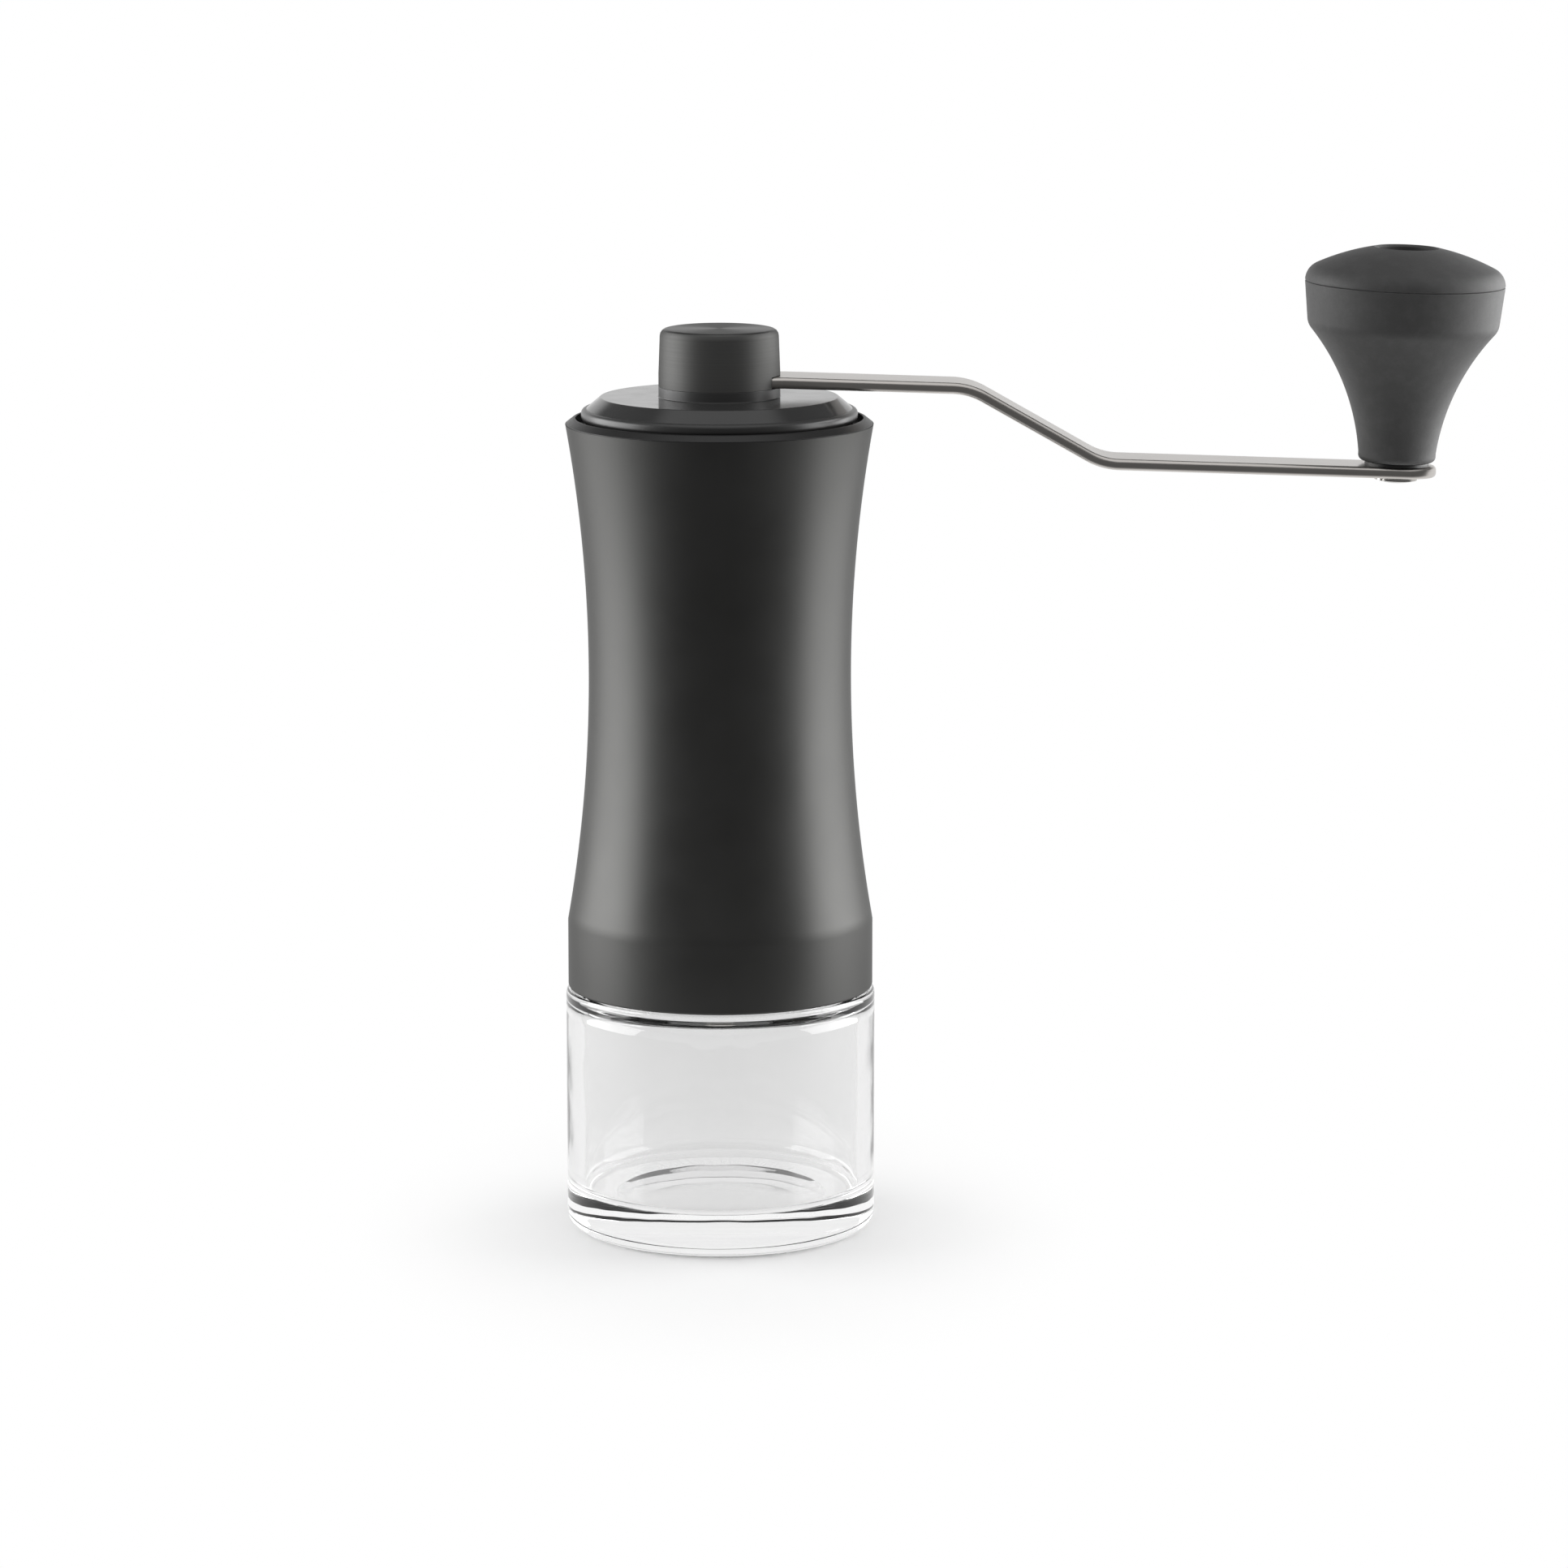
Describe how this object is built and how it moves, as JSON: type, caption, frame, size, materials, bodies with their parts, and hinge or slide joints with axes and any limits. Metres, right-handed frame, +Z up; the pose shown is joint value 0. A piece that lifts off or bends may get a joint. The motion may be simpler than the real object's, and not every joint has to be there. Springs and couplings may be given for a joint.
{
  "type": "hand crank coffee grinder",
  "caption": "Hand coffee grinder: a waisted black body with ceramic burrs inside, a glass jar screwed below and a cranked steel arm with a mushroom knob on top.",
  "frame": {"origin": "where the body's own vertical axis meets the surface that the jar stands on", "axes": "+Z up along the shaft, +X along the crank arm towards the knob, +Y to the back"},
  "size_m": [0.165, 0.055, 0.1754],
  "materials": {
    "clear_glass": "clear pressed glass",
    "silicone": "matt silicone",
    "black_metal": "satin black coated metal",
    "black_plastic": "matt black moulding",
    "gloss_black": "polished black moulding",
    "anodised_black": "turned and black anodised",
    "satin_steel": "satin stainless steel",
    "polished_steel": "polished rivet",
    "steel": "plain steel",
    "bronze": "sintered bronze",
    "ceramic": "unglazed white ceramic",
    "knob_plastic": "soft matt black"
  },
  "bodies": {
    "housing": {"body_sleeve": "black_metal", "hopper": "black_plastic", "burr_housing": "black_plastic", "upper_bridge": "black_plastic", "upper_bush": "bronze", "lower_bush": "bronze", "outer_burr": "ceramic", "burr_clamp_ring": "black_plastic", "clamp_screws": "steel"},
    "drive": {"drive_shaft": "steel", "shaft_clip": "steel", "thrust_washer": "steel", "burr_spring": "steel"},
    "crank": {"lid": "gloss_black", "hub_cap": "anodised_black", "hub_screws": "steel", "crank_arm": "satin_steel", "knob_spindle": "polished_steel", "knob_washer": "black_plastic"},
    "knob": {"knob_body": "knob_plastic", "knob_cap": "knob_plastic", "knob_bush": "bronze"},
    "seal": {"jar_seal": "silicone"},
    "jar": {"glass_jar": "clear_glass"},
    "burr": {"inner_burr": "ceramic", "burr_carrier": "black_plastic", "click_plate": "steel"},
    "nut": {"adjusting_nut": "black_plastic"}
  },
  "joints": [
    {"name": "shaft_spin", "type": "hinge", "parent": "housing", "child": "drive", "pos_m": [0, 0, 0.1], "axis": [0, 0, 1], "continuous": true},
    {"name": "crank_lift", "type": "slide", "parent": "drive", "child": "crank", "axis": [0, 0, 1], "range_m": [0, 0.03]},
    {"name": "knob_spin", "type": "hinge", "parent": "crank", "child": "knob", "pos_m": [0.11903, 0, 0.13707], "axis": [0.0314, 0, 0.9995], "continuous": true},
    {"name": "jar_drop", "type": "slide", "parent": "housing", "child": "seal", "axis": [0, 0, -1], "range_m": [0, 0.01]},
    {"name": "jar_turn", "type": "hinge", "parent": "seal", "child": "jar", "pos_m": [0, 0, 0.0478], "axis": [0, 0, -1], "range_deg": [0, 720]},
    {"name": "burr_travel", "type": "slide", "parent": "drive", "child": "burr", "axis": [0, 0, -1], "range_m": [0, 0.0015], "deforming": ["burr_spring"]},
    {"name": "nut_turn", "type": "hinge", "parent": "burr", "child": "nut", "pos_m": [0, 0, 0.0486], "axis": [0, 0, -1], "range_deg": [0, 540.5]}
  ],
  "couplings": [
    {"joint": "jar_drop", "follows": "jar_turn", "m_per_rad": 0.00079577},
    {"joint": "nut_turn", "follows": "burr_travel", "rad_per_m": 6283.2}
  ]
}
